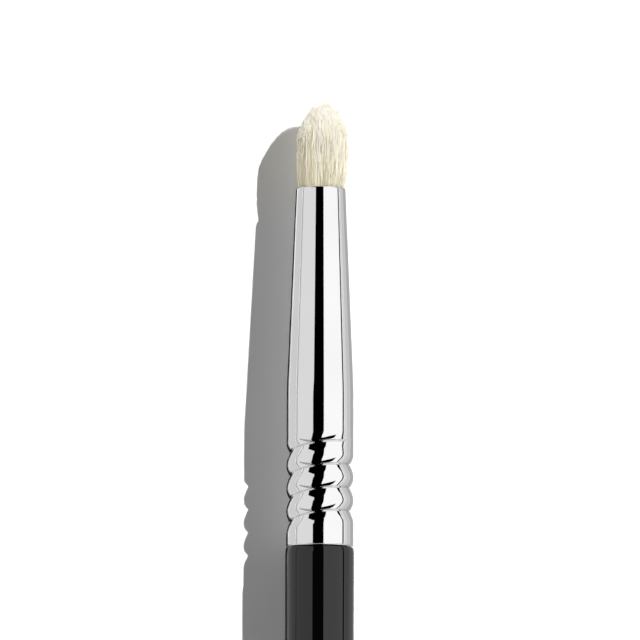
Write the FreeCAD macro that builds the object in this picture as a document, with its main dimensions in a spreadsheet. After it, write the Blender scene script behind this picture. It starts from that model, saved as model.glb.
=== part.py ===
import FreeCAD
import Part
import Sketcher
import math
import os

# Eyeshadow brush lying on a table. Every piece is turned about one axis, drawn with that axis upright from
# the tail of the handle, and then laid down so that the hair points along +Y.

# Driving sizes in millimetres. The two values that end in turns are counts.
sizes = {
    # Fits and cuts
    "fit_clearance": 0.03,
    "overrun": 1.0,
    # Handle
    "handle_length": 116.2,
    "belly_setback": 45.0,
    "belly_swell": 0.8,
    "waist_setback": 12.0,
    "waist_relief": 0.04,
    "shoulder_flare": 0.32,
    "shoulder_height": 1.25,
    "joint_step": 0.08,
    "tail_diameter": 5.2,
    # Tenon and its glue
    "tenon_setback": 2.2,
    "tenon_chamfer": 0.6,
    "glue_margin": 0.4,
    "glue_film": 0.25,
    "glue_pad": 1.0,
    # Ferrule
    "ferrule_diameter": 8.8,
    "mouth_diameter": 6.6,
    "taper_length": 26.7,
    "blend_length": 2.4,
    "land_length": 6.2,
    "barrel_flare": 0.04,
    "ferrule_wall": 0.3,
    "lip_round": 0.24,
    "back_edge_chamfer": 0.08,
    # Rolled crimp
    "crimp_setback": 3.2,
    "crimp_pitch": 3.05,
    "crimp_crest": 0.35,
    "crimp_depth": 0.48,
    "crimp_lift": 0.03,
    "crimp_turns": 3.25,
    "runout_turns": 0.25,
    # Hair
    "tuft_length": 11.4,
    "tuft_diameter": 6.7,
    "crown_height": 5.1,
    "nose_radius": 1.2,
    "flare_height": 3.0,
    "root_depth": 14.0,
    "root_diameter": 5.0,
    # Thread binding round the root
    "binding_setback": 2.0,
    "binding_width": 5.0,
    "binding_thickness": 0.45,
    # Resin
    "resin_lap": 0.6,
    "resin_floor": 3.0,
}

# Where the chords of the handle's taper meet, from its tail to its belly
taper_shares = (0, 0.45, 1)
# Where the chords of a rolled bead meet, from the crimp's valley to its crest, and the slope at the crest
bead_shares = (1, 0.55)
crest_slope_share = 0.4
# Where the chords of the hair meet: its flare by height, and its crown by the angle that its arc turns
flare_shares = (0, 0.4, 1)
crown_shares = (0, 0.35, 0.7, 1)
# Where the chords of the ferrule's round lip meet, as parts of a right angle
lip_shares = (0, 0.5, 1)

doc = FreeCAD.newDocument("eyeshadow_brush")
sheet = doc.addObject("Spreadsheet::Sheet", "Sizes")
for row, (alias, value) in enumerate(sizes.items(), start=1):
    sheet.set(f"A{row}", alias)
    sheet.set(f"B{row}", str(value))
    sheet.setAlias(f"B{row}", alias)
doc.recompute()


# Expressions over the sheet, as text
def size(alias):
    return f"Sizes.{alias}"


def add(*terms):
    return "(" + " + ".join(terms) + ")"


def less(first, *others):
    return "(" + " - ".join((first,) + others) + ")"


def times(*terms):
    return "(" + " * ".join(terms) + ")"


def over(first, second):
    return f"({first} / {second})"


def half(term):
    return over(term, "2")


def arc_radius(run, drop):
    # Radius of an arc that starts along its run and leaves it by drop at the end
    return over(f"({run} ^ 2 + {drop} ^ 2)", times("2", drop))


def number(expression):
    found = sheet.evalExpression(expression)
    return float(getattr(found, "Value", found))


# Heights along the axis, from the tail
joint_height = size("handle_length")
belly_height = less(joint_height, size("belly_setback"))
waist_height = less(joint_height, size("waist_setback"))
crimp_width = less(size("crimp_pitch"), size("crimp_crest"))
crimp_start = add(joint_height, size("crimp_setback"))
crimp_end = add(crimp_start, times(size("crimp_turns"), size("crimp_pitch")))
crimp_top = add(crimp_end, half(crimp_width))
land_bottom = add(crimp_top, times(size("runout_turns"), size("crimp_pitch")))
barrel_top = add(crimp_top, size("land_length"))
glue_start = add(crimp_top, size("glue_margin"))
tenon_top = less(barrel_top, size("tenon_setback"))
mouth_height = add(barrel_top, size("taper_length"))
tip_height = add(mouth_height, size("tuft_length"))
root_height = less(mouth_height, size("root_depth"))
binding_bottom = add(root_height, size("binding_setback"))
binding_top = add(binding_bottom, size("binding_width"))
resin_top = add(binding_top, size("resin_lap"))
resin_bottom = less(root_height, size("resin_floor"))

# Radii
barrel_radius = half(size("ferrule_diameter"))
mouth_radius = half(size("mouth_diameter"))
bore_radius = less(barrel_radius, size("ferrule_wall"))
mouth_bore_radius = less(mouth_radius, size("ferrule_wall"))
tenon_radius = less(bore_radius, size("fit_clearance"))
tenon_end_radius = less(bore_radius, size("glue_film"))
shoulder_radius = less(barrel_radius, half(size("joint_step")))
neck_radius = add(shoulder_radius, half(size("shoulder_flare")))
waist_radius = less(neck_radius, half(size("waist_relief")))
belly_radius = add(waist_radius, half(size("belly_swell")))
root_radius = half(size("root_diameter"))
tuft_radius = half(size("tuft_diameter"))

taper_slope = over(less(barrel_radius, mouth_radius), size("taper_length"))


def new_body(label):
    body = doc.addObject("PartDesign::Body", label)
    body.Label = label
    left, up, ahead = FreeCAD.Vector(-1, 0, 0), FreeCAD.Vector(0, 0, 1), FreeCAD.Vector(0, 1, 0)
    body.Placement = FreeCAD.Placement(FreeCAD.Vector(), FreeCAD.Rotation(left, up, ahead))
    body.setExpression("Placement.Base.y", "-" + half(tip_height))
    body.setExpression("Placement.Base.z", belly_radius)
    return body


def origin_feature(body, role):
    return next(feature for feature in body.Origin.OriginFeatures if feature.Role == role)


def arc_between(start, end, radius, side):
    # The shorter arc from start to end, with its centre to the left (side 1) or right (side -1) of its chord
    chord = end - start
    across = FreeCAD.Vector(-chord.y, chord.x, 0).normalize() * side
    to_centre = math.sqrt(radius ** 2 - (chord.Length / 2) ** 2)
    crown = (start + end) / 2 - across * (radius - to_centre)
    return Part.Arc(start, crown, end)


def outline(body, plane, name, corners):
    # A closed sketch. Each corner is its distance from the axis, its height and, where the way to the next
    # corner is round, that arc's radius and side.
    sketch = body.newObject("Sketcher::SketchObject", name)
    sketch.AttachmentSupport = [(origin_feature(body, plane), "")]
    sketch.MapMode = "FlatFace"
    places = [FreeCAD.Vector(number(corner[0]), number(corner[1]), 0) for corner in corners]
    starts = []
    for index, corner in enumerate(corners):
        here = places[index]
        there = places[(index + 1) % len(corners)]
        if len(corner) == 2:
            sketch.addGeometry(Part.LineSegment(here, there), False)
        else:
            radius, side = corner[2:]
            sketch.addGeometry(arc_between(here, there, number(radius), side), False)
            place = sketch.addConstraint(Sketcher.Constraint("Radius", index, number(radius)))
            sketch.setExpression(f"Constraints[{place}]", radius)
        first, second = sketch.getPoint(index, 1), sketch.getPoint(index, 2)
        starts.append(1 if first.distanceToPoint(here) < second.distanceToPoint(here) else 2)
    for index, corner in enumerate(corners):
        last = (index - 1) % len(corners)
        sketch.addConstraint(Sketcher.Constraint("Coincident", last, 3 - starts[last], index, starts[index]))
        ways = (("DistanceX", -2, corner[0], places[index].x), ("DistanceY", -1, corner[1], places[index].y))
        for kind, axis, expression, value in ways:
            if expression == "0":
                sketch.addConstraint(Sketcher.Constraint("PointOnObject", index, starts[index], axis))
            else:
                place = sketch.addConstraint(Sketcher.Constraint(kind, -1, 1, index, starts[index], value))
                sketch.setExpression(f"Constraints[{place}]", expression)
    return sketch


def turn(body, name, corners):
    profile = outline(body, "XZ_Plane", name + "Profile", corners)
    revolution = body.newObject("PartDesign::Revolution", name)
    revolution.Profile = profile
    revolution.ReferenceAxis = (profile, ["V_Axis"])
    doc.recompute()


def helix_cut(body, name, profile, turns, growth, upward):
    before = body.Shape.Volume
    cut = body.newObject("PartDesign::SubtractiveHelix", name)
    cut.Profile = profile
    cut.ReferenceAxis = (origin_feature(body, "Z_Axis"), [""])
    cut.Mode = "height-turns-growth"
    cut.setExpression("Turns", turns)
    cut.setExpression("Height", times(turns, size("crimp_pitch")))
    cut.setExpression("Growth", growth)
    cut.Reversed = not upward
    doc.recompute()
    if body.Shape.Volume >= before:
        raise RuntimeError(f"{body.Label}: {name} cuts nothing")


def crimp_profile(body, plane, name, surface_radius, height):
    # A valley between two round beads, whose flanks start a little outside the surface
    crest_radius = add(surface_radius, size("crimp_lift"))
    outer_radius = add(crest_radius, size("overrun"))
    fall = add(size("crimp_depth"), size("crimp_lift"))
    reach = half(crimp_width)
    flank = []
    for share in bead_shares:
        fallen = crest_slope_share * share + (1 - crest_slope_share) * share ** 2
        flank.append((less(crest_radius, times(fall, f"{fallen}")), times(reach, f"{1 - share}")))
    above = [(radius, add(height, rise)) for radius, rise in flank]
    below = [(radius, less(height, rise)) for radius, rise in flank[1:]]
    return outline(body, plane, name, [
        (outer_radius, less(height, reach)),
        (outer_radius, add(height, reach)),
        (crest_radius, add(height, reach)),
    ] + above[::-1] + below + [(crest_radius, less(height, reach))])


def roll_crimp(body, surface_radius):
    # The groove climbs from the left of the brush to its top, and runs out of the surface at both ends.
    runout_growth = over(add(size("crimp_depth"), size("crimp_lift")), size("runout_turns"))
    start = crimp_profile(body, "XZ_Plane", "CrimpStart", surface_radius, crimp_start)
    end = crimp_profile(body, "YZ_Plane", "CrimpEnd", surface_radius, crimp_end)
    helix_cut(body, "CrimpTurns", start, size("crimp_turns"), "0", True)
    helix_cut(body, "CrimpRunIn", start, size("runout_turns"), runout_growth, False)
    helix_cut(body, "CrimpRunOut", end, size("runout_turns"), runout_growth, True)


def make_handle():
    # Turned wood: domed tail, long taper, belly, slim waist, neck, rounded shoulder and the crimped tenon
    tail_radius = half(size("tail_diameter"))
    drop = less(belly_radius, tail_radius)
    lean = f"atan({over(times('2', drop), less(belly_height, tail_radius))})"
    dome_height = f"({tail_radius} * (1 - sin({lean})) / cos({lean}))"
    run = less(belly_height, dome_height)
    taper = [
        (less(belly_radius, times(drop, f"{(1 - share) ** 2}")), add(dome_height, times(run, f"{share}")))
        for share in taper_shares
    ]
    edge_radius = arc_radius(size("shoulder_height"), half(size("shoulder_flare")))
    chamfer = size("tenon_chamfer")
    body = new_body("handle")
    turn(body, "Turned", [("0", "0", over(tail_radius, f"cos({lean})"), 1)] + taper + [
        (waist_radius, waist_height),
        (neck_radius, less(joint_height, size("shoulder_height")), edge_radius, 1),
        (shoulder_radius, joint_height),
        (tenon_radius, joint_height),
        (tenon_radius, glue_start),
        (tenon_end_radius, glue_start),
        (tenon_end_radius, less(tenon_top, chamfer)),
        (less(tenon_end_radius, chamfer), tenon_top),
        ("0", tenon_top),
    ])
    roll_crimp(body, tenon_radius)
    return body


def make_ferrule():
    # Drawn tube: barrel, blended cone and rounded lip, with the crimp rolled through its wall. The crimp's rolls
    # leave the back of the barrel a little wider than its plain land.
    blank = new_body("ferrule_blank")
    back_radius = add(barrel_radius, half(size("barrel_flare")))
    chamfer = size("back_edge_chamfer")
    blend = half(size("blend_length"))
    lip = size("lip_round")
    lip_edge = [
        (less(mouth_radius, times(lip, f"(1 - cos(90 * {share}))")),
         add(less(mouth_height, lip), times(lip, f"sin(90 * {share})")))
        for share in lip_shares
    ]
    turn(blank, "Drawn", [
        ("0", joint_height),
        (less(back_radius, chamfer), joint_height),
        (back_radius, add(joint_height, chamfer)),
        (barrel_radius, land_bottom),
        (barrel_radius, less(barrel_top, blend)),
        (less(barrel_radius, times(blend, taper_slope)), add(barrel_top, blend)),
    ] + lip_edge + [("0", mouth_height)])
    roll_crimp(blank, barrel_radius)
    bore = new_body("ferrule_bore")
    turn(bore, "Bored", [
        ("0", less(joint_height, size("overrun"))),
        (bore_radius, less(joint_height, size("overrun"))),
        (bore_radius, barrel_top),
        (less(mouth_bore_radius, times(size("overrun"), taper_slope)), add(mouth_height, size("overrun"))),
        ("0", add(mouth_height, size("overrun"))),
    ])
    roll_crimp(bore, bore_radius)
    tube = doc.addObject("Part::Cut", "ferrule")
    tube.Base = blank
    tube.Tool = bore
    return tube


def make_handle_glue():
    # Cup of set glue on the end of the tenon
    gap = size("fit_clearance")
    chamfer = size("tenon_chamfer")
    outer_radius = less(bore_radius, gap)
    inner_radius = add(tenon_end_radius, gap)
    body = new_body("handle_glue")
    turn(body, "Cup", [
        (inner_radius, glue_start),
        (outer_radius, glue_start),
        (outer_radius, add(tenon_top, size("glue_pad"))),
        ("0", add(tenon_top, size("glue_pad"))),
        ("0", add(tenon_top, gap)),
        (less(inner_radius, chamfer), add(tenon_top, gap)),
        (inner_radius, add(less(tenon_top, chamfer), gap)),
    ])
    return body


def make_hair_tuft():
    # Bundle of hair: root, flare above the mouth, straight middle, and a crown that runs into a round nose
    base_radius = less(mouth_bore_radius, size("fit_clearance"))
    flare = [
        (less(tuft_radius, times(less(tuft_radius, base_radius), f"{(1 - share) ** 2}")),
         add(mouth_height, times(size("flare_height"), f"{share}")))
        for share in flare_shares
    ]
    crown_start = less(tip_height, size("crown_height"))
    nose = size("nose_radius")
    reach = less(size("crown_height"), nose)
    crown_radius = over(f"({tuft_radius} ^ 2 + {reach} ^ 2 - {nose} ^ 2)", times("2", less(tuft_radius, nose)))
    crown_angle = f"asin({over(reach, less(crown_radius, nose))})"
    crown = [
        (less(tuft_radius, times(crown_radius, f"(1 - cos({share} * {crown_angle}))")),
         add(crown_start, times(crown_radius, f"sin({share} * {crown_angle})")))
        for share in crown_shares
    ]
    crown[-1] += (nose, 1)
    body = new_body("hair_tuft")
    turn(body, "Bundle", [
        ("0", root_height),
        (root_radius, root_height),
        (root_radius, resin_top),
    ] + flare + crown + [("0", tip_height)])
    return body


def make_binding_thread():
    # The wound thread as the plain band that its turns make together
    inner_radius = add(root_radius, size("fit_clearance"))
    outer_radius = add(inner_radius, size("binding_thickness"))
    body = new_body("binding_thread")
    turn(body, "Band", [
        (inner_radius, binding_bottom),
        (outer_radius, binding_bottom),
        (outer_radius, binding_top),
        (inner_radius, binding_top),
    ])
    return body


def resin_outside(height):
    # Radius that fits the bore at a height, in the barrel or in the cone
    bore = less(bore_radius, times(f"max({less(height, barrel_top)}; 0)", taper_slope))
    return less(bore, size("fit_clearance"))


def make_resin_plug():
    # Resin cast round the bound root, which fills the cone behind the hair
    gap = size("fit_clearance")
    root_wall = add(root_radius, gap)
    binding_wall = add(root_wall, size("binding_thickness"), gap)
    body = new_body("resin_plug")
    turn(body, "Cast", [
        ("0", resin_bottom),
        (resin_outside(resin_bottom), resin_bottom),
        (resin_outside(resin_top), resin_top),
        (root_wall, resin_top),
        (root_wall, add(binding_top, gap)),
        (binding_wall, add(binding_top, gap)),
        (binding_wall, less(binding_bottom, gap)),
        (root_wall, less(binding_bottom, gap)),
        (root_wall, less(root_height, gap)),
        ("0", less(root_height, gap)),
    ])
    return body


pieces = [
    make_hair_tuft(),
    make_binding_thread(),
    make_resin_plug(),
    make_ferrule(),
    make_handle_glue(),
    make_handle(),
]
doc.recompute()

failed = [item.Label for item in doc.Objects if {"Invalid", "Error"} & set(item.State)]
failed += [piece.Label for piece in pieces if piece.Shape.isNull() or not piece.Shape.isValid()]
failed += [piece.Label for piece in pieces if len(piece.Shape.Solids) != 1]
if failed:
    raise RuntimeError("failed pieces: " + ", ".join(failed))

os.makedirs("parts", exist_ok=True)
for piece in pieces:
    piece.Shape.exportStep(f"parts/{piece.Label}.step")
    print(f"{piece.Label}: {piece.Shape.Volume:.2f} cubic mm")
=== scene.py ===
import math

import bmesh
import bpy
import numpy as np
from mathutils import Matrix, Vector


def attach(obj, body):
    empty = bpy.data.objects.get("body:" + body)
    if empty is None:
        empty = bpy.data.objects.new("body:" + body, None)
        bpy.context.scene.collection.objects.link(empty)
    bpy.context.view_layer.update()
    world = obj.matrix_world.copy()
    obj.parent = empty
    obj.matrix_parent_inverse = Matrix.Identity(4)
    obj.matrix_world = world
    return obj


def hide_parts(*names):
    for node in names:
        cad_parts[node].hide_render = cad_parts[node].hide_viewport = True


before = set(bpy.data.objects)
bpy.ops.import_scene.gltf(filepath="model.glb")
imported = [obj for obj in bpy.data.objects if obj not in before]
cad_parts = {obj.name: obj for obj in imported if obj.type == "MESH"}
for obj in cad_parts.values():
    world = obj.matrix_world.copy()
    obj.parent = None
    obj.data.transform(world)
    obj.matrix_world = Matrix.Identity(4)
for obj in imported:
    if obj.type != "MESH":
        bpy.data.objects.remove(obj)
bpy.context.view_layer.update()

mm = 0.001
axisHeight = 4.9  # mm, the brush lies with its belly on the floor
print("frame loaded:", ", ".join(sorted(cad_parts)))


# small helpers for meshes
def smoothStep(value):
    value = np.clip(value, 0.0, 1.0)
    return value * value * (3.0 - 2.0 * value)


def meshObject(name, points, faces):
    mesh = bpy.data.meshes.new(name)
    mesh.from_pydata(points, [], faces)
    mesh.validate()
    piece = bpy.data.objects.new(name, mesh)
    bpy.context.scene.collection.objects.link(piece)
    return piece


def turnedObject(name, heights, radii, ringClosed):
    # one row of radii per ring, one column per step round the axis, all in mm
    rings, steps = radii.shape
    angle = np.arange(steps) * 2.0 * math.pi / steps
    points = np.empty((rings, steps, 3))
    points[..., 0] = -radii * np.cos(angle)
    points[..., 1] = np.asarray(heights)[:, None]
    points[..., 2] = axisHeight + radii * np.sin(angle)
    rows = np.arange(rings if ringClosed else rings - 1)
    a = rows[:, None] * steps + np.arange(steps)[None, :]
    b = rows[:, None] * steps + (np.arange(steps)[None, :] + 1) % steps
    c = ((rows[:, None] + 1) % rings) * steps + (np.arange(steps)[None, :] + 1) % steps
    d = ((rows[:, None] + 1) % rings) * steps + np.arange(steps)[None, :]
    faces = np.stack([a, b, c, d], axis=-1).reshape(-1, 4)
    piece = meshObject(name, (points.reshape(-1, 3) * mm).tolist(), faces.tolist())
    work = bmesh.new()
    work.from_mesh(piece.data)
    bmesh.ops.remove_doubles(work, verts=work.verts, dist=1e-8)  # closes the poles
    bmesh.ops.recalc_face_normals(work, faces=work.faces)
    work.to_mesh(piece.data)
    work.free()
    for face in piece.data.polygons:
        face.use_smooth = True
    return piece


# small helpers for materials
def newNode(tree, kind, x, y, **settings):
    node = tree.nodes.new(kind)
    node.location = (x, y)
    for key, value in settings.items():
        setattr(node, key, value)
    return node


def newMaterial(name):
    material = bpy.data.materials.new(name)
    material.use_nodes = True
    tree = material.node_tree
    tree.nodes.clear()
    output = newNode(tree, "ShaderNodeOutputMaterial", 700, 0)
    shader = newNode(tree, "ShaderNodeBsdfPrincipled", 400, 0)
    tree.links.new(shader.outputs[0], output.inputs[0])
    return material, tree, shader, output


def newGroup(name, inputs, outputs):
    group = bpy.data.node_groups.new(name, "ShaderNodeTree")
    for label, kind, value in inputs:
        socket = group.interface.new_socket(label, in_out="INPUT", socket_type=kind)
        socket.default_value = value
    for label, kind in outputs:
        group.interface.new_socket(label, in_out="OUTPUT", socket_type=kind)
    start = newNode(group, "NodeGroupInput", -700, 0)
    end = newNode(group, "NodeGroupOutput", 500, 0)
    return group, start, end


def placeGroup(tree, group, x, y, values):
    node = newNode(tree, "ShaderNodeGroup", x, y, node_tree=group)
    for label, value in values.items():
        node.inputs[label].default_value = value
    return node


# haze: slow and fine noise together, for a roughness that changes over the surface
hazeGroup, hazeIn, hazeOut = newGroup(
    "handlingHaze",
    [("Slow", "NodeSocketFloat", 120.0), ("Fine", "NodeSocketFloat", 2500.0),
     ("Least", "NodeSocketFloat", 0.03), ("Most", "NodeSocketFloat", 0.08)],
    [("Roughness", "NodeSocketFloat")])
place = newNode(hazeGroup, "ShaderNodeTexCoord", -700, 250)
slow = newNode(hazeGroup, "ShaderNodeTexNoise", -450, 200)
slow.inputs["Detail"].default_value = 3.0
fine = newNode(hazeGroup, "ShaderNodeTexNoise", -450, -80)
fine.inputs["Detail"].default_value = 2.0
both = newNode(hazeGroup, "ShaderNodeMath", -200, 80, operation="MULTIPLY")
spread = newNode(hazeGroup, "ShaderNodeMapRange", 50, 60)
spread.inputs["From Min"].default_value = 0.12
spread.inputs["From Max"].default_value = 0.42
hazeGroup.links.new(place.outputs["Object"], slow.inputs["Vector"])
hazeGroup.links.new(place.outputs["Object"], fine.inputs["Vector"])
hazeGroup.links.new(hazeIn.outputs["Slow"], slow.inputs["Scale"])
hazeGroup.links.new(hazeIn.outputs["Fine"], fine.inputs["Scale"])
hazeGroup.links.new(slow.outputs["Fac"], both.inputs[0])
hazeGroup.links.new(fine.outputs["Fac"], both.inputs[1])
hazeGroup.links.new(both.outputs[0], spread.inputs["Value"])
hazeGroup.links.new(hazeIn.outputs["Least"], spread.inputs["To Min"])
hazeGroup.links.new(hazeIn.outputs["Most"], spread.inputs["To Max"])
hazeGroup.links.new(spread.outputs["Result"], hazeOut.inputs["Roughness"])

# mottle: two close shades of one colour
mottleGroup, mottleIn, mottleOut = newGroup(
    "shadeMottle",
    [("Shade", "NodeSocketColor", (0.5, 0.5, 0.5, 1.0)),
     ("Other Shade", "NodeSocketColor", (0.4, 0.4, 0.4, 1.0)),
     ("Scale", "NodeSocketFloat", 300.0)],
    [("Colour", "NodeSocketColor")])
place = newNode(mottleGroup, "ShaderNodeTexCoord", -700, 250)
cloud = newNode(mottleGroup, "ShaderNodeTexNoise", -450, 120)
cloud.inputs["Detail"].default_value = 4.0
firm = newNode(mottleGroup, "ShaderNodeMapRange", -200, 120)
firm.inputs["From Min"].default_value = 0.3
firm.inputs["From Max"].default_value = 0.7
blendShade = newNode(mottleGroup, "ShaderNodeMix", 100, 60, data_type="RGBA")
mottleGroup.links.new(place.outputs["Object"], cloud.inputs["Vector"])
mottleGroup.links.new(mottleIn.outputs["Scale"], cloud.inputs["Scale"])
mottleGroup.links.new(cloud.outputs["Fac"], firm.inputs["Value"])
mottleGroup.links.new(firm.outputs["Result"], blendShade.inputs[0])
mottleGroup.links.new(mottleIn.outputs["Shade"], blendShade.inputs[6])
mottleGroup.links.new(mottleIn.outputs["Other Shade"], blendShade.inputs[7])
mottleGroup.links.new(blendShade.outputs[2], mottleOut.inputs["Colour"])

# turning lines: rings round the brush, as a lathe or a drawing die leaves them
linesGroup, linesIn, linesOut = newGroup(
    "turningLines",
    [("Along", "NodeSocketFloat", 9000.0), ("Round", "NodeSocketFloat", 60.0)],
    [("Height", "NodeSocketFloat")])
place = newNode(linesGroup, "ShaderNodeTexCoord", -900, 250)
split = newNode(linesGroup, "ShaderNodeSeparateXYZ", -700, 250)
joined = newNode(linesGroup, "ShaderNodeCombineXYZ", -250, 200)
for index, label in enumerate(("Round", "Along", "Round")):
    stretch = newNode(linesGroup, "ShaderNodeMath", -480, 300 - 160 * index, operation="MULTIPLY")
    linesGroup.links.new(split.outputs[index], stretch.inputs[0])
    linesGroup.links.new(linesIn.outputs[label], stretch.inputs[1])
    linesGroup.links.new(stretch.outputs[0], joined.inputs[index])
rings = newNode(linesGroup, "ShaderNodeTexNoise", 0, 150)
rings.inputs["Scale"].default_value = 1.0
rings.inputs["Detail"].default_value = 2.0
linesGroup.links.new(place.outputs["Object"], split.inputs[0])
linesGroup.links.new(joined.outputs[0], rings.inputs["Vector"])
linesGroup.links.new(rings.outputs["Fac"], linesOut.inputs["Height"])
print("shared node groups made")


# two shades of one colour and a changing roughness, as each hard finish here has them
def addFinish(tree, shader, look):
    mottle = placeGroup(tree, mottleGroup, -200, 200, {
        "Shade": look["shade"], "Other Shade": look["otherShade"], "Scale": look["mottle"]})
    haze = placeGroup(tree, hazeGroup, -200, -50, {
        "Slow": look["slow"], "Fine": look["fine"], "Least": look["least"], "Most": look["most"]})
    tree.links.new(mottle.outputs["Colour"], shader.inputs["Base Color"])
    tree.links.new(haze.outputs["Roughness"], shader.inputs["Roughness"])


def addLines(tree, look):
    return placeGroup(tree, linesGroup, -200, -300, {"Along": look["along"], "Round": look["round"]})


def addBump(tree, shader, height, look):
    bump = newNode(tree, "ShaderNodeBump", 100, -300)
    bump.inputs["Strength"].default_value = look["bump"]
    bump.inputs["Distance"].default_value = look["bumpDepth"] * mm
    tree.links.new(height, bump.inputs["Height"])
    tree.links.new(bump.outputs["Normal"], shader.inputs["Normal"])


# ferrule: drawn tube, mirror plated, with a rolled helical crimp
ferruleForm = {
    "backY": 28.72, "mouthY": 76.08, "wall": 0.3,
    "backRadius": 4.42, "barrelRadius": 4.40, "mouthRadius": 3.30,
    "flareTopY": 43.94, "landTopY": 48.18, "coneY": 50.58, "coneDrop": 0.049, "backChamfer": 0.06,
    "backRound": 0.09, "lipHeight": 0.24, "lipDepth": 0.18,
    "crimpY": 31.92, "crimpPitch": 3.05, "crimpSway": 0.42, "crimpDepth": 0.47,
    "reachToTip": 1.25, "reachToTail": 1.60, "bellyToTip": 0.3, "bellyToTail": 0.6, "valleyRound": 0.03,
    "foldDepth": 0.10, "foldReach": 0.16,
    "firstTurn": -0.25, "fullFrom": 0.0, "fullTo": 3.3, "lastTurn": 3.5,
    "crimpLead": 2.4, "crimpTrail": 1.6, "innerShare": 0.94, "steps": 200, "crimpRow": 0.042, "innerRow": 0.2,
}


def barrelRadius(y):
    f = ferruleForm
    slope = (f["barrelRadius"] - f["coneDrop"] - f["mouthRadius"]) / (f["mouthY"] - f["coneY"])
    flare = np.interp(y, [f["backY"], f["flareTopY"]], [f["backRadius"], f["barrelRadius"]])
    cone = f["mouthRadius"] + slope * (f["mouthY"] - y)
    span = f["coneY"] - f["landTopY"]
    s = np.clip((y - f["landTopY"]) / span, 0.0, 1.0)
    drop = f["barrelRadius"] - (f["mouthRadius"] + slope * (f["mouthY"] - f["coneY"]))
    blend = f["barrelRadius"] - drop * (3 * s**2 - 2 * s**3) - slope * span * (s**3 - s**2)
    return np.where(y < f["landTopY"], flare, np.where(y < f["coneY"], blend, cone))


def crimpDepth(y, turn):
    # how far the rolled groove lies under the plain barrel, turn counted from the left side
    f = ferruleForm
    depth = np.zeros(np.broadcast(y, turn).shape)
    for lap in range(-1, 4):
        place = turn + lap
        off = y - (f["crimpY"] + f["crimpPitch"] * place + f["crimpSway"] * np.sin(2 * math.pi * turn))
        off = np.sign(off) * (np.sqrt(off**2 + f["valleyRound"]**2) - f["valleyRound"])
        share = np.clip(np.where(off > 0, off / f["reachToTip"], -off / f["reachToTail"]), 0.0, 1.0)
        belly = np.where(off > 0, f["bellyToTip"], f["bellyToTail"])
        # a sharp crease lies in the valley
        fold = np.clip(1 - np.where(off > 0, off, -2 * off) / f["foldReach"], 0.0, 1.0)**2
        full = smoothStep((place - f["firstTurn"]) / (f["fullFrom"] - f["firstTurn"]))
        full = full * smoothStep((f["lastTurn"] - place) / (f["lastTurn"] - f["fullTo"]))
        groove = f["crimpDepth"] * (1 - share)**2 * (1 + belly * share) + f["foldDepth"] * fold
        depth = np.maximum(depth, full * groove)
    return depth


def makeFerrule():
    f = ferruleForm
    quarter = np.linspace(0.0, math.pi / 2, 7)
    crimpLow = f["crimpY"] - f["crimpLead"]
    crimpHigh = f["crimpY"] + f["crimpPitch"] * f["fullTo"] + f["crimpTrail"]
    outerY = np.concatenate([
        np.linspace(f["backY"] + f["backRound"], crimpLow, 6)[:-1],
        np.arange(crimpLow, crimpHigh, f["crimpRow"]),
        np.linspace(crimpHigh, f["landTopY"], 8)[:-1],
        np.linspace(f["landTopY"], f["coneY"], 10)[:-1],
        np.linspace(f["coneY"], f["mouthY"] - f["lipHeight"], 14)])
    turn = np.arange(f["steps"]) / f["steps"]
    outerR = barrelRadius(outerY)[:, None] - crimpDepth(outerY[:, None], turn[None, :])
    lipR = barrelRadius(f["mouthY"] - f["lipHeight"])
    lipY = f["mouthY"] - f["lipHeight"] + f["lipHeight"] * np.sin(quarter[1:])
    lipRadii = lipR - f["lipDepth"] * (1 - np.cos(quarter[1:]))
    rollDepth = f["wall"] - f["lipDepth"]
    rollY = f["mouthY"] - rollDepth * (1 - np.cos(quarter[1:]))
    rollRadii = lipRadii[-1] - rollDepth * np.sin(quarter[1:])
    innerY = np.concatenate([
        np.linspace(rollY[-1], crimpHigh, 26)[1:-1],
        np.arange(crimpHigh, crimpLow, -f["innerRow"]),
        np.linspace(crimpLow, f["backY"] + f["backChamfer"], 4)])
    innerDepth = f["innerShare"] * crimpDepth(innerY[:, None], turn[None, :])
    innerR = barrelRadius(innerY)[:, None] - f["wall"] - innerDepth
    backY = f["backY"] + f["backRound"] * (1 - np.sin(quarter[:-1]))
    backRadii = f["backRadius"] - f["backRound"] * (1 - np.cos(quarter[:-1]))
    tailY = f["backY"] + np.array([1 / 3, 0]) * f["backChamfer"]
    tailRadii = f["backRadius"] - f["wall"] + np.array([1 / 3, 1]) * f["backChamfer"]
    flat = np.ones((1, f["steps"]))
    heights = np.concatenate([backY[::-1], outerY, lipY, rollY, innerY, tailY])
    radii = np.concatenate([backRadii[::-1, None] * flat, outerR, lipRadii[:, None] * flat,
                            rollRadii[:, None] * flat, innerR, tailRadii[:, None] * flat])
    return turnedObject("ferruleTube", heights, radii, True)


chromeLook = {
    "shade": (0.70, 0.70, 0.705, 1), "otherShade": (0.675, 0.675, 0.68, 1), "mottle": 90.0,
    "slow": 140.0, "fine": 3200.0, "least": 0.025, "most": 0.06,
    "along": 7000.0, "round": 90.0, "bump": 0.02, "bumpDepth": 0.02,
}


def makeChrome():
    material, tree, shader, output = newMaterial("platedChrome")
    shader.inputs["Metallic"].default_value = 1.0
    addFinish(tree, shader, chromeLook)
    lines = addLines(tree, chromeLook)
    addBump(tree, shader, lines.outputs["Height"], chromeLook)
    return material


ferrule = makeFerrule()
ferrule.data.materials.append(makeChrome())
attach(ferrule, "root")
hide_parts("ferrule")
print("ferrule made:", len(ferrule.data.polygons), "faces")


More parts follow.
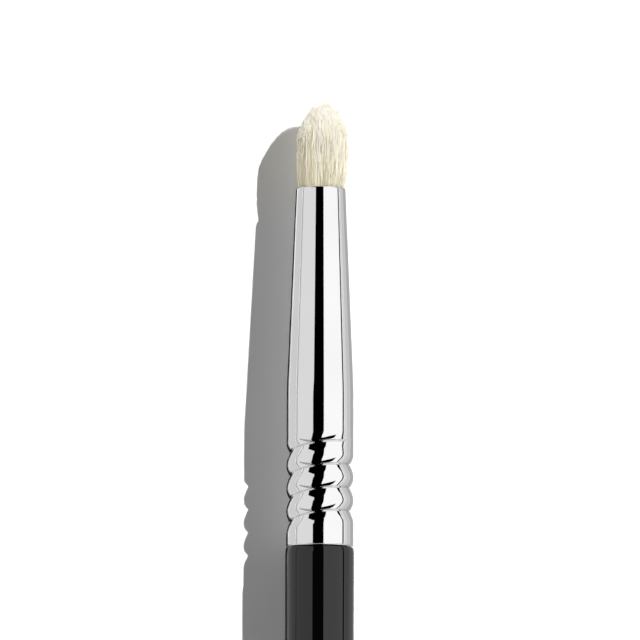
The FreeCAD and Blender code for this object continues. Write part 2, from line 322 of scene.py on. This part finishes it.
# handle: turned wood under glossy black lacquer
handleForm = {
    "jointY": ferruleForm["backY"], "jointGap": 0.12, "jointRadius": 4.36, "neckY": 27.47, "neckRadius": 4.52,
    "waistY": 16.72, "waistRadius": 4.50, "bellyY": -16.28, "bellyRadius": 4.90,
    "domeY": -85.05, "tailRadius": 2.60, "tailY": -87.48,
    "tenonRadius": 3.58, "tenonStepY": 43.6, "tenonEndRadius": 3.84, "tenonY": 47.18,
    "tenonFillet": 0.1, "tenonRamp": 0.3, "tenonChamfer": 0.6, "steps": 144,
}


def makeHandle():
    f = handleForm
    quarter = np.linspace(0.0, math.pi / 2, 16)
    domeY = f["domeY"] - (f["domeY"] - f["tailY"]) * np.cos(quarter)
    domeR = f["tailRadius"] * np.sin(quarter)
    s = np.linspace(0.0, 1.0, 60)[1:]
    taperY = f["domeY"] + (f["bellyY"] - f["domeY"]) * s
    taperR = f["bellyRadius"] - (f["bellyRadius"] - f["tailRadius"]) * (1 - s)**2
    s = np.linspace(0.0, 1.0, 40)[1:]
    swellY = f["bellyY"] + (f["waistY"] - f["bellyY"]) * s
    swellR = f["bellyRadius"] + (f["waistRadius"] - f["bellyRadius"]) * smoothStep(s)
    s = np.linspace(0.0, 1.0, 30)[1:]
    neckY = f["waistY"] + (f["neckY"] - f["waistY"]) * s
    neckR = f["waistRadius"] + (f["neckRadius"] - f["waistRadius"]) * smoothStep(s)
    stepY = f["jointY"] - f["jointGap"]  # a hairline shows between lacquer and metal
    shoulderY = f["neckY"] + (stepY - f["neckY"]) * np.sin(quarter[1:])
    shoulderR = f["jointRadius"] + (f["neckRadius"] - f["jointRadius"]) * np.cos(quarter[1:])
    tenonY = np.array([stepY, stepY, f["tenonStepY"], f["tenonStepY"] + f["tenonRamp"],
                       f["tenonY"] - f["tenonChamfer"], f["tenonY"], f["tenonY"]])
    tenonR = np.array([f["tenonRadius"] + f["tenonFillet"], f["tenonRadius"], f["tenonRadius"],
                       f["tenonEndRadius"], f["tenonEndRadius"],
                       f["tenonEndRadius"] - f["tenonChamfer"], 0.0])
    heights = np.concatenate([domeY, taperY, swellY, neckY, shoulderY, tenonY])
    radii = np.concatenate([domeR, taperR, swellR, neckR, shoulderR, tenonR])
    radii = radii[:, None] * np.ones((1, f["steps"]))
    return turnedObject("lacqueredHandle", heights, radii, False)


lacquerLook = {
    "shade": (0.0008, 0.0008, 0.0009, 1), "otherShade": (0.0014, 0.0013, 0.0014, 1), "mottle": 70.0,
    "slow": 90.0, "fine": 2600.0, "least": 0.015, "most": 0.04,
    "peel": 420.0, "bump": 0.05, "bumpDepth": 0.04, "ior": 1.47,
}


def makeLacquer():
    material, tree, shader, output = newMaterial("blackLacquer")
    shader.inputs["IOR"].default_value = lacquerLook["ior"]
    addFinish(tree, shader, lacquerLook)
    place = newNode(tree, "ShaderNodeTexCoord", -450, -320)
    peel = newNode(tree, "ShaderNodeTexNoise", -200, -320)  # the slight wave of a dipped coat
    peel.inputs["Scale"].default_value = lacquerLook["peel"]
    peel.inputs["Detail"].default_value = 1.0
    tree.links.new(place.outputs["Object"], peel.inputs["Vector"])
    addBump(tree, shader, peel.outputs["Fac"], lacquerLook)
    return material


handle = makeHandle()
handle.data.materials.append(makeLacquer())
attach(handle, "root")
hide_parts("handle")
print("handle made:", len(handle.data.polygons), "faces")


# hair: a domed bundle of fine tapered hairs round a dense heart
hairForm = {
    "mouthY": ferruleForm["mouthY"], "length": 11.72, "crown": 5.5, "domePower": 0.64,
    "mouthRadius": 2.93, "bodyRadius": 3.22, "flare": 3.0, "leanStart": 0.13, "leanRise": 0.02,
    "rootY": 62.08, "rootRadius": 2.5, "rootGap": 1.0,
    "heartShare": 0.965, "heartHeight": 0.955, "heartSteps": 72,
    "sideHairs": 560, "tipHairs": 1600, "flyHairs": 700, "locks": 175, "clumps": 190, "seed": 47,
    "points": 9, "thick": 0.066, "thickSpread": (0.7, 1.2), "sideReach": (0.97, 1.03), "tipReach": 0.985,
    "lockWidth": 0.03, "clumpPull": (0.05, 0.35), "sidePull": 0.35,
    "sideStart": -0.6, "sideEnd": (4.6, 9.6), "sideLift": (0.0, 0.09),
    "tipLength": (1.4, 2.6), "tipRise": (-0.05, 0.22), "clumpRise": 0.06, "tipLift": (-0.03, 0.06),
    "lockStart": (0.8, 7.6), "lockLength": (0.9, 1.8), "lockJitter": 0.1, "lockLift": (0.02, 0.27),
    "proudShare": 0.12, "proudRise": (0.0, 0.4), "topRise": 0.22,
    "swing": 0.010, "waveRate": 0.9, "waveFrom": 4.0,
    "rootColour": (0.995, 0.968, 0.875), "tipColour": (0.996, 0.98, 0.94), "palest": 0.995,
    "toneSpread": 0.02, "clumpTone": 0.015, "darkShare": 0.12, "darkTone": 0.92, "tonePower": (0.8, 1.0, 1.6),
    "mapColumns": 64, "mapShare": 0.74,
}


def bodyRadius(h):
    f = hairForm
    rise = 1 - (1 - np.clip(h / f["flare"], 0, 1))**2
    return f["mouthRadius"] + (f["bodyRadius"] - f["mouthRadius"]) * rise


def bundleRadius(h):
    f = hairForm
    t = np.clip((f["length"] - h) / f["crown"], 0.0, 1.0)
    return bodyRadius(h) * np.maximum(1 - (1 - t)**2, 1e-4)**f["domePower"]


def domeHeight(reach):
    f = hairForm
    share = 1 - np.sqrt(np.maximum(1 - np.minimum(reach, 1.0)**(1 / f["domePower"]), 0))
    return f["length"] - f["crown"] * share


def strandMap(count):
    # one small cell of the map per hair: its three sides next to each other, its cut end below them
    ringCount = hairForm["points"] - 1
    quadSpots, thirdSpots = [], []
    high = 0.8 / ringCount
    for row in range(ringCount - 1):
        low = 0.16 + high * row
        for side in range(3):
            left, right = side / 3, (side + 1) / 3
            quadSpots.append([(left, low), (right, low), (right, low + high), (left, low + high)])
    low = 0.16 + high * (ringCount - 1)
    for side in range(3):
        thirdSpots.append([(side / 3, low), ((side + 1) / 3, low), ((side + 0.5) / 3, low + high)])
    thirdSpots.append([(0.2, 0.02), (0.8, 0.02), (0.5, 0.12)])
    columns = hairForm["mapColumns"]
    cell = np.array([1 / columns, hairForm["mapShare"] / math.ceil(count / columns)])
    corner = np.stack([np.arange(count) % columns, np.arange(count) // columns], axis=1) * cell
    spots = []
    for part in (quadSpots, thirdSpots):
        inset = 0.05 + 0.9 * np.array(part)
        spots.append((corner[:, None, None, :] + inset * cell).reshape(-1, 2))
    return np.concatenate(spots)


def heartMap(points, faces):
    # the heart is unrolled above the cells
    f = hairForm
    across, up = points[:, 0], points[:, 2] - axisHeight
    reach = np.hypot(across, up)
    turn = np.arctan2(up, -across) / (2 * math.pi) % 1.0
    top = points[:, 1].max()
    rim = reach[points[:, 1] > top - 1e-4].max()
    along = f["rootRadius"] + points[:, 1] - f["rootY"]
    along = along + np.where(points[:, 1] > top - 1e-4, rim - reach, 0)
    along = np.where(points[:, 1] < f["rootY"] + 1e-4, reach, along)
    along = f["mapShare"] + 0.015 + (0.975 - f["mapShare"]) * along / along.max()
    spots = []
    for face in faces:
        around = turn[face]
        around = np.where(around < around.max() - 0.5, around + 1, around)  # faces over the seam
        pole = reach[face] < 1e-4
        around = np.where(pole, around[~pole].mean(), around)
        spots.extend(np.stack([0.005 + 0.97 * around, along[face]], axis=1))
    return np.array(spots)


def hairPaths(rng):
    # side hairs lie along the bundle, tip hairs stand up to the dome, loose hairs come in small locks
    f = hairForm
    hairs = [f["sideHairs"], f["tipHairs"], f["flyHairs"]]
    count = sum(hairs)
    kind = np.repeat([0, 1, 2], hairs)
    sideOnes, tipOnes, looseOnes = kind == 0, kind == 1, kind == 2
    lock = np.arange(count) % f["locks"]
    lockAngle = rng.uniform(0, 2 * math.pi, f["locks"])[lock] + rng.normal(0, f["lockWidth"], count)
    angle = np.where(looseOnes, lockAngle, rng.uniform(0, 2 * math.pi, count))
    tipReach = f["tipReach"] * np.sqrt(rng.random(count))
    reach = np.where(tipOnes, tipReach, rng.uniform(*f["sideReach"], count))
    root = np.stack([reach * np.cos(angle), reach * np.sin(angle)], axis=1)
    # clumps: neighbours lean together towards their tips and end at about the same height
    clumpReach = np.sqrt(rng.random(f["clumps"]))
    clumpAngle = rng.uniform(0, 2 * math.pi, f["clumps"])
    clump = np.stack([clumpReach * np.cos(clumpAngle), clumpReach * np.sin(clumpAngle)], axis=1)
    nearest = np.argmin(((root[:, None, :] - clump[None]) ** 2).sum(2), axis=1)
    pull = rng.uniform(*f["clumpPull"], count) * np.where(tipOnes, 1.0, f["sidePull"])
    tip = root + (clump[nearest] - root) * pull[:, None] + rng.normal(0, 0.02, (count, 2))
    tip = tip * (reach / np.maximum(np.linalg.norm(tip, axis=1), 1e-3))[:, None]  # the bundle keeps its girth
    clumpRise = rng.normal(0, f["clumpRise"], f["clumps"])[nearest]
    dome = domeHeight(reach)
    tipStart = dome - rng.uniform(*f["tipLength"], count)
    lockStart = rng.uniform(*f["lockStart"], f["locks"])[lock] + rng.normal(0, f["lockJitter"], count)
    startH = np.select([sideOnes, tipOnes], [f["sideStart"], tipStart], lockStart)
    sideEnd = rng.uniform(*f["sideEnd"], count)
    tipEnd = dome + rng.uniform(*f["tipRise"], count) + clumpRise
    lockEnd = startH + rng.uniform(*f["lockLength"], f["locks"])[lock]
    endH = np.select([sideOnes, tipOnes], [sideEnd, tipEnd], lockEnd)
    proud = rng.random(count) < f["proudShare"]  # a few tips stand proud
    endH = endH + np.where(proud, rng.uniform(*f["proudRise"], count), 0.0)
    endH = np.minimum(endH, f["length"] + f["topRise"])
    s = np.linspace(0, 1, f["points"])[None, :]
    h = startH[:, None] + (endH - startH)[:, None] * s
    bendShare = smoothStep(s * 1.05 - 0.05)  # straight for a short way from the root
    px = root[:, :1] + (tip[:, :1] - root[:, :1]) * bendShare
    pz = root[:, 1:] + (tip[:, 1:] - root[:, 1:]) * bendShare
    wave = rng.uniform(0, 2 * math.pi, (count, 2))
    swing = rng.normal(0, f["swing"], (count, 2))
    freed = np.clip(h, 0, f["waveFrom"]) / f["waveFrom"]  # the mouth of the ferrule holds the hairs still
    px = px + swing[:, :1] * np.sin(wave[:, :1] + h * f["waveRate"]) * freed
    pz = pz + swing[:, 1:] * np.sin(wave[:, 1:] + h * f["waveRate"]) * freed
    wide = np.where(tipOnes[:, None], bodyRadius(h), bundleRadius(np.minimum(h, f["length"] - 0.2)))
    sideLift = rng.uniform(*f["sideLift"], count)
    tipLift = rng.uniform(*f["tipLift"], count)
    lockLift = rng.uniform(*f["lockLift"], f["locks"])[lock]
    lift = np.select([sideOnes, tipOnes], [sideLift, tipLift], lockLift)
    wide = wide + lift[:, None] * s**2 / np.maximum(np.sqrt(px**2 + pz**2), 0.2)
    lean = f["leanStart"] + f["leanRise"] * np.maximum(h, 0)
    return px * wide + lean, h, pz * wide, nearest


def strandTubes(rng, x, h, z):
    # each hair is a closed three-sided tube that thins to a point
    f = hairForm
    count, ringCount = len(x), f["points"] - 1
    s = np.linspace(0, 1, f["points"])[None, :]
    taper = np.interp(s, [0, 0.5, 0.9, 1], [0.9, 1.0, 0.5, 0.15])
    thin = f["thick"] * rng.uniform(*f["thickSpread"], count)[:, None] * taper / 2
    spin = rng.uniform(0, 2 * math.pi, count)[:, None, None] + np.arange(3)[None, None, :] * 2 * math.pi / 3
    ring = np.empty((count, ringCount, 3, 3))
    ring[..., 0] = x[:, :-1, None] + thin[:, :-1, None] * np.cos(spin)
    ring[..., 1] = f["mouthY"] + h[:, :-1, None]
    ring[..., 2] = axisHeight + z[:, :-1, None] + thin[:, :-1, None] * np.sin(spin)
    end = np.stack([x[:, -1], f["mouthY"] + h[:, -1], axisHeight + z[:, -1]], axis=1)
    points = np.concatenate([ring.reshape(count, -1, 3), end[:, None, :]], axis=1)
    quads = []
    for row in range(ringCount - 1):
        for side in range(3):
            after = (side + 1) % 3
            quads.append((row * 3 + side, row * 3 + after, row * 3 + 3 + after, row * 3 + 3 + side))
    last, top = (ringCount - 1) * 3, ringCount * 3
    thirds = [(last, last + 1, top), (last + 1, last + 2, top), (last + 2, last, top), (2, 1, 0)]
    offset = np.arange(count)[:, None, None] * (top + 1)
    quads = (np.array(quads)[None] + offset).reshape(-1, 4).tolist()
    thirds = (np.array(thirds)[None] + offset).reshape(-1, 3).tolist()
    return points.reshape(-1, 3), quads + thirds


def heartShell():
    # the dense heart of the bundle and its root in the ferrule
    f = hairForm
    crownSteps = f["length"] - f["crown"] * (1 - np.sin(np.linspace(0, math.pi / 2, 24)[1:]))
    heartH = np.concatenate([np.linspace(0, f["length"] - f["crown"], 14), crownSteps])
    heartR = bundleRadius(np.minimum(heartH, f["length"] - 0.005)) * f["heartShare"]
    heartY = f["mouthY"] + heartH * f["heartHeight"]
    heights = np.concatenate([[f["rootY"], f["rootY"], f["mouthY"] - f["rootGap"]], heartY, heartY[-1:]])
    radii = np.concatenate([[0, f["rootRadius"], f["rootRadius"]], heartR, [0]])
    heart = turnedObject("hairHeart", heights, radii[:, None] * np.ones((1, f["heartSteps"])), False)
    points = np.array([v.co for v in heart.data.vertices]) / mm
    faces = [np.array(face.vertices) for face in heart.data.polygons]
    spots = heartMap(points, faces)
    rise = np.maximum(points[:, 1] - f["mouthY"], 0)
    points[:, 0] += np.where(rise > 0, f["leanStart"] + f["leanRise"] * rise, 0)
    heartMesh = heart.data
    bpy.data.objects.remove(heart)
    bpy.data.meshes.remove(heartMesh)
    return points, faces, spots


def hairColours(rng, h, nearest, heartPoints):
    # one shade per hair, warmer at the root
    f = hairForm
    count = len(h)
    tone = 1 + rng.normal(0, f["toneSpread"], count) + rng.normal(0, f["clumpTone"], f["clumps"])[nearest]
    tone = np.where(rng.random(count) < f["darkShare"], tone * f["darkTone"], tone)
    tone = tone[:, None] ** np.array(f["tonePower"])  # a darker hair is a warmer one
    rise = np.concatenate([np.repeat(h[:, :-1], 3, axis=1), h[:, -1:]], axis=1)
    rise = np.clip(rise / f["length"], 0, 1)[..., None]
    heartRise = np.clip((heartPoints[:, 1:2] - f["mouthY"]) / f["length"], 0, 1)
    warm, pale = np.array(f["rootColour"]), np.array(f["tipColour"])
    strands = (warm + (pale - warm) * rise) * tone[:, None, :]
    colour = np.concatenate([strands.reshape(-1, 3), warm + (pale - warm) * heartRise])
    colour = np.clip(colour, 0, f["palest"])
    return np.concatenate([colour, np.ones((len(colour), 1))], axis=1)


def makeHair():
    rng = np.random.default_rng(hairForm["seed"])
    x, h, z, nearest = hairPaths(rng)
    tubePoints, tubeFaces = strandTubes(rng, x, h, z)
    heartPoints, heartFaces, heartSpots = heartShell()
    heartFaces = [(face + len(tubePoints)).tolist() for face in heartFaces]
    points = np.concatenate([tubePoints, heartPoints])
    hair = meshObject("hairTuft", (points * mm).tolist(), tubeFaces + heartFaces)
    for face in hair.data.polygons:
        face.use_smooth = True
    spots = np.concatenate([strandMap(len(x)), heartSpots])
    places = hair.data.uv_layers.new(name="OFBake")
    places.data.foreach_set("uv", spots.reshape(-1).astype(np.float32))
    colour = hairColours(rng, h, nearest, heartPoints)
    layer = hair.data.color_attributes.new("strandColour", "FLOAT_COLOR", "POINT")
    layer.data.foreach_set("color", colour.reshape(-1).astype(np.float32))
    return hair


hairLook = {
    "through": 0.55, "streak": 0.97, "along": 160.0, "round": 9000.0,
    "slow": 400.0, "fine": 5000.0, "least": 0.45, "most": 0.65, "bump": 0.35, "bumpDepth": 0.05, "sheen": 0.3,
}


def makeHairMaterial():
    material, tree, shader, output = newMaterial("creamHair")
    look = hairLook
    shader.inputs["Specular IOR Level"].default_value = look["sheen"]
    shade = newNode(tree, "ShaderNodeAttribute", -600, 200, attribute_name="strandColour")
    streaks = addLines(tree, look)
    spread = newNode(tree, "ShaderNodeMapRange", -600, -50)
    spread.inputs["From Min"].default_value = 0.35
    spread.inputs["From Max"].default_value = 0.6
    spread.inputs["To Min"].default_value = look["streak"]
    streaked = newNode(tree, "ShaderNodeVectorMath", -350, 150, operation="SCALE")
    haze = placeGroup(tree, hazeGroup, -350, -150, {
        "Slow": look["slow"], "Fine": look["fine"], "Least": look["least"], "Most": look["most"]})
    through = newNode(tree, "ShaderNodeBsdfTranslucent", 400, -450)  # light that passes through a hair
    mixed = newNode(tree, "ShaderNodeMixShader", 620, -100)
    mixed.inputs[0].default_value = look["through"]
    tree.links.new(streaks.outputs["Height"], spread.inputs["Value"])
    tree.links.new(shade.outputs["Color"], streaked.inputs[0])
    tree.links.new(spread.outputs["Result"], streaked.inputs["Scale"])
    tree.links.new(streaked.outputs[0], shader.inputs["Base Color"])
    tree.links.new(haze.outputs["Roughness"], shader.inputs["Roughness"])
    addBump(tree, shader, streaks.outputs["Height"], look)
    tree.links.new(streaked.outputs[0], through.inputs["Color"])
    tree.links.new(shader.outputs[0], mixed.inputs[1])
    tree.links.new(through.outputs[0], mixed.inputs[2])
    tree.links.new(mixed.outputs[0], output.inputs[0])
    return material


hair = makeHair()
hair.data.materials.append(makeHairMaterial())
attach(hair, "root")
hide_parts("hair_tuft")
print("hair made:", len(hair.data.polygons), "faces")


# inner pieces keep their solids: thread, resin and glue
innerLooks = {
    "binding_thread": {"shade": (0.62, 0.52, 0.36, 1), "otherShade": (0.42, 0.33, 0.21, 1), "mottle": 900.0,
                       "least": 0.55, "most": 0.8, "along": 3400.0},
    "resin_plug": {"shade": (0.55, 0.36, 0.12, 1), "otherShade": (0.40, 0.23, 0.06, 1), "mottle": 260.0,
                   "least": 0.08, "most": 0.25, "along": 500.0},
    "handle_glue": {"shade": (0.80, 0.74, 0.58, 1), "otherShade": (0.66, 0.58, 0.40, 1), "mottle": 340.0,
                    "least": 0.25, "most": 0.5, "along": 500.0},
}
innerShared = {"slow": 200.0, "fine": 3000.0, "round": 250.0, "bump": 0.4, "bumpDepth": 0.1}


def makeInner(node, look):
    material, tree, shader, output = newMaterial(node.replace("_", "") + "Finish")
    addFinish(tree, shader, look)
    lines = addLines(tree, look)
    addBump(tree, shader, lines.outputs["Height"], look)
    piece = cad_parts[node]
    piece.data.materials.clear()
    piece.data.materials.append(material)


for node, look in innerLooks.items():
    makeInner(node, innerShared | look)
print("inner finishes made")


# floor, cards and lights
studio = {
    "floorShade": (0.95, 0.95, 0.95, 1), "floorSize": 2.0, "ambient": 0.9, "ambientFalloff": 2.0,
    "keyFrom": (0.86, 0.61, 1.0), "keyStrength": 4.75, "keySpread": 0.8,
    "fillFrom": (-0.95, 0.10, 0.20), "fillTarget": (0, 0.06, 0), "fillWatts": 5.6, "fillSize": (0.9, 0.2),
    "diffuseBounces": 16, "bounces": 24,  # light goes far inside pale hair
}


def makeFloor():
    size = studio["floorSize"]
    corners = [(-size, -size, 0), (size, -size, 0), (size, size, 0), (-size, size, 0)]
    floor = meshObject("floor", corners, [(0, 1, 2, 3)])
    material, tree, shader, output = newMaterial("floorPaper")
    shader.inputs["Base Color"].default_value = studio["floorShade"]
    shader.inputs["Roughness"].default_value = 1.0
    shader.inputs["Specular IOR Level"].default_value = 0.0
    floor.data.materials.append(material)


# cards round the brush that only mirrors see, as softboxes and flags stand round a product shot
cardPlan = {
    "high": 0.6, "middle": 0.045, "softbox": 1.36,
    # the dark stripe above the brush, in shares of the height from the middle
    "stripe": [(-0.44, -0.6), (-0.44, 0.12), (-0.39, 0.2), (-0.44, 0.6), (-1.5, 1.5), (-2.1, 3.0),
               (-0.6, 4.4), (0.25, 4.2), (0.36, 2.6), (0.6, 1.65), (0.235, 0.75), (0.23, -0.6),
               (0.27, -1.4), (0.3, -3.0), (-0.9, -3.0)],
    # lying under the ceiling: x from and to, y from and to in m, level
    "bandFlags": {"rightBandFlag": (-0.3, 2.0, -1.15, -0.58, 0.0),
                  "leftBandFlag": (-2.0, -0.3, -1.0, -0.7, 0.45)},
    # standing on the floor: x, height in m, level
    "skirts": {"rightSkirt": (1.15, 0.12, 0.02), "leftSkirt": (-1.15, 0.13, 0.6)},
    "tailFlag": [(-0.62, -1.4, 0.0), (1.4, -1.4, 0.0), (1.4, -1.4, 0.12),
                 (0.3, -1.4, 0.72), (-0.35, -1.4, 0.72)],
    "tipFlag": [(0.70, 0.92, 0.0), (1.02, 0.55, 0.0), (1.02, 0.55, 0.05), (0.70, 0.92, 0.27)],
    # strips on the floor beside the brush: x from and to, upper end in mm, level. The left edge strip is
    # painted shadow on the floor, and the right strips are painted shade that darkens step by step towards
    # the brush, both seen only in mirrors
    "strips": {"leftEdgeFlag": (-8.0, -5.4, 77, 0.02), "leftStrip": (-300.0, -11.0, 140, 0.86),
               "rightEdgeFlag": (4.6, 12.0, 90, 0.55), "rightStrip": (12.0, 28.0, 110, 0.78),
               "rightFarStrip": (28.0, 110.0, 140, 0.95)},
    "stripTailY": -120, "stripHeight": 0.1,
}


def makeCard(name, corners, level):
    card = meshObject(name, corners, [tuple(range(len(corners)))])
    material = bpy.data.materials.new(name + "Light")
    material.use_nodes = True
    tree = material.node_tree
    tree.nodes.clear()
    output = newNode(tree, "ShaderNodeOutputMaterial", 300, 0)
    glow = newNode(tree, "ShaderNodeEmission", 0, 0)
    glow.inputs["Strength"].default_value = level
    tree.links.new(glow.outputs[0], output.inputs[0])
    card.data.materials.append(material)
    card.visible_camera = False
    card.visible_diffuse = False
    card.visible_shadow = False
    card.visible_transmission = False
    card.visible_volume_scatter = False


def lyingCard(name, left, right, low, top, z, level):
    makeCard(name, [(left, low, z), (right, low, z), (right, top, z), (left, top, z)], level)


def standingCard(name, x, low, top, foot, head, level):
    makeCard(name, [(x, low, foot), (x, top, foot), (x, top, head), (x, low, head)], level)


def makeCards():
    p = cardPlan
    high, middle = p["high"], p["middle"]
    makeCard("overheadFlag", [(x * high, middle + y * high, high) for x, y in p["stripe"]], 0.0)
    boxHigh = high + 0.03
    lyingCard("rightSoftbox", 0.14 * high, 2.2, middle - 3 * high, middle + 2.6 * high, boxHigh, p["softbox"])
    standingCard("rightSoftboxFall", 1.2, -2.0, 1.6, 0.06, boxHigh, p["softbox"])
    for name, (x, head, level) in p["skirts"].items():
        standingCard(name, x, -2.0, 2.0, 0.0, head, level)
    for name in ("tailFlag", "tipFlag"):
        makeCard(name, p[name], 0.0)
    # these strips paint the floor's shadow and a shade near the brush into what mirrors see
    for name, (left, right, top, level) in p["strips"].items():
        lyingCard(name, left * mm, right * mm, p["stripTailY"] * mm, top * mm, p["stripHeight"] * mm, level)
    for name, (left, right, low, top, level) in p["bandFlags"].items():
        lyingCard(name, left, right, low, top, high - 0.01, level)


def makeKey():
    lamp = bpy.data.lights.new("keyLight", "SUN")
    lamp.energy = studio["keyStrength"]
    lamp.angle = math.radians(studio["keySpread"])
    key = bpy.data.objects.new("keyLight", lamp)
    key.rotation_euler = Vector(studio["keyFrom"]).to_track_quat("Z", "Y").to_euler()
    key.visible_glossy = False
    bpy.context.scene.collection.objects.link(key)


def makeFill():
    # low soft light from the left, for the shaded side of the hair
    lamp = bpy.data.lights.new("leftFill", "AREA")
    lamp.shape = "RECTANGLE"
    lamp.size, lamp.size_y = studio["fillSize"]
    lamp.energy = studio["fillWatts"]
    fill = bpy.data.objects.new("leftFill", lamp)
    fill.location = Vector(studio["fillFrom"]) + Vector(studio["fillTarget"])
    fill.rotation_euler = Vector(studio["fillFrom"]).to_track_quat("Z", "Y").to_euler()
    fill.visible_glossy = False
    fill.visible_camera = False
    bpy.context.scene.collection.objects.link(fill)


def makeWorld():
    # the camera and mirrors see white, while the light from all round stays soft
    world = bpy.data.worlds.new("studioWorld")
    world.use_nodes = True
    tree = world.node_tree
    tree.nodes.clear()
    output = newNode(tree, "ShaderNodeOutputWorld", 600, 0)
    fill = newNode(tree, "ShaderNodeBackground", 100, 100)
    place = newNode(tree, "ShaderNodeTexCoord", -900, -100)
    split = newNode(tree, "ShaderNodeSeparateXYZ", -700, -100)
    lower = newNode(tree, "ShaderNodeMapRange", -500, -100)  # walls of light all round, dark overhead
    falloff = newNode(tree, "ShaderNodeMath", -300, -100, operation="POWER")
    falloff.inputs[1].default_value = studio["ambientFalloff"]
    level = newNode(tree, "ShaderNodeMath", -100, -100, operation="MULTIPLY")
    level.inputs[1].default_value = studio["ambient"]
    lower.inputs["To Min"].default_value = 1.0
    lower.inputs["To Max"].default_value = 0.0
    tree.links.new(place.outputs["Generated"], split.inputs[0])
    tree.links.new(split.outputs["Z"], lower.inputs["Value"])
    tree.links.new(lower.outputs["Result"], falloff.inputs[0])
    tree.links.new(falloff.outputs[0], level.inputs[0])
    tree.links.new(level.outputs[0], fill.inputs["Strength"])
    white = newNode(tree, "ShaderNodeBackground", 100, -100)
    path = newNode(tree, "ShaderNodeLightPath", -500, 200)
    seen = newNode(tree, "ShaderNodeMath", -250, 250, operation="MAXIMUM")
    seenThrough = newNode(tree, "ShaderNodeMath", -80, 250, operation="MAXIMUM")
    mixed = newNode(tree, "ShaderNodeMixShader", 400, 0)
    for background in (fill, white):
        background.inputs["Color"].default_value = (1, 1, 1, 1)
    tree.links.new(path.outputs["Is Camera Ray"], seen.inputs[0])
    tree.links.new(path.outputs["Is Glossy Ray"], seen.inputs[1])
    tree.links.new(seen.outputs[0], seenThrough.inputs[0])
    tree.links.new(path.outputs["Is Transmission Ray"], seenThrough.inputs[1])
    tree.links.new(seenThrough.outputs[0], mixed.inputs[0])
    tree.links.new(fill.outputs[0], mixed.inputs[1])
    tree.links.new(white.outputs[0], mixed.inputs[2])
    tree.links.new(mixed.outputs[0], output.inputs[0])
    bpy.context.scene.world = world


makeFloor()
makeCards()
makeKey()
makeFill()
makeWorld()
bpy.context.scene.cycles.diffuse_bounces = studio["diffuseBounces"]
bpy.context.scene.cycles.max_bounces = studio["bounces"]
print("floor and lights made")


# camera: long lens from almost straight above, as the photograph was taken
cameraPlan = {
    "elevation": 84.0, "distance": 1.25, "frameWidth": 0.0842, "sensor": 36.0,
    "lookAt": (-0.04, 58.68, axisHeight), "lean": 0.16,
}


def makeCamera():
    lens = bpy.data.cameras.new("brushCamera")
    lens.sensor_width = cameraPlan["sensor"]
    lens.lens = cameraPlan["sensor"] * cameraPlan["distance"] / cameraPlan["frameWidth"]
    lens.clip_start = 0.05
    camera = bpy.data.objects.new("brushCamera", lens)
    tilt = math.radians(cameraPlan["elevation"])
    target = Vector(cameraPlan["lookAt"]) * mm
    away = Vector((0.0, -math.cos(tilt), math.sin(tilt)))
    camera.location = target + away * cameraPlan["distance"]
    look = away.to_track_quat("Z", "Y").to_matrix()
    roll = math.radians(cameraPlan["lean"])
    camera.rotation_euler = look.to_euler()
    camera.rotation_euler.rotate_axis("Z", roll)
    bpy.context.scene.collection.objects.link(camera)
    bpy.context.scene.camera = camera


makeCamera()
bpy.context.scene.view_settings.view_transform = "Standard"
print("scene ready")
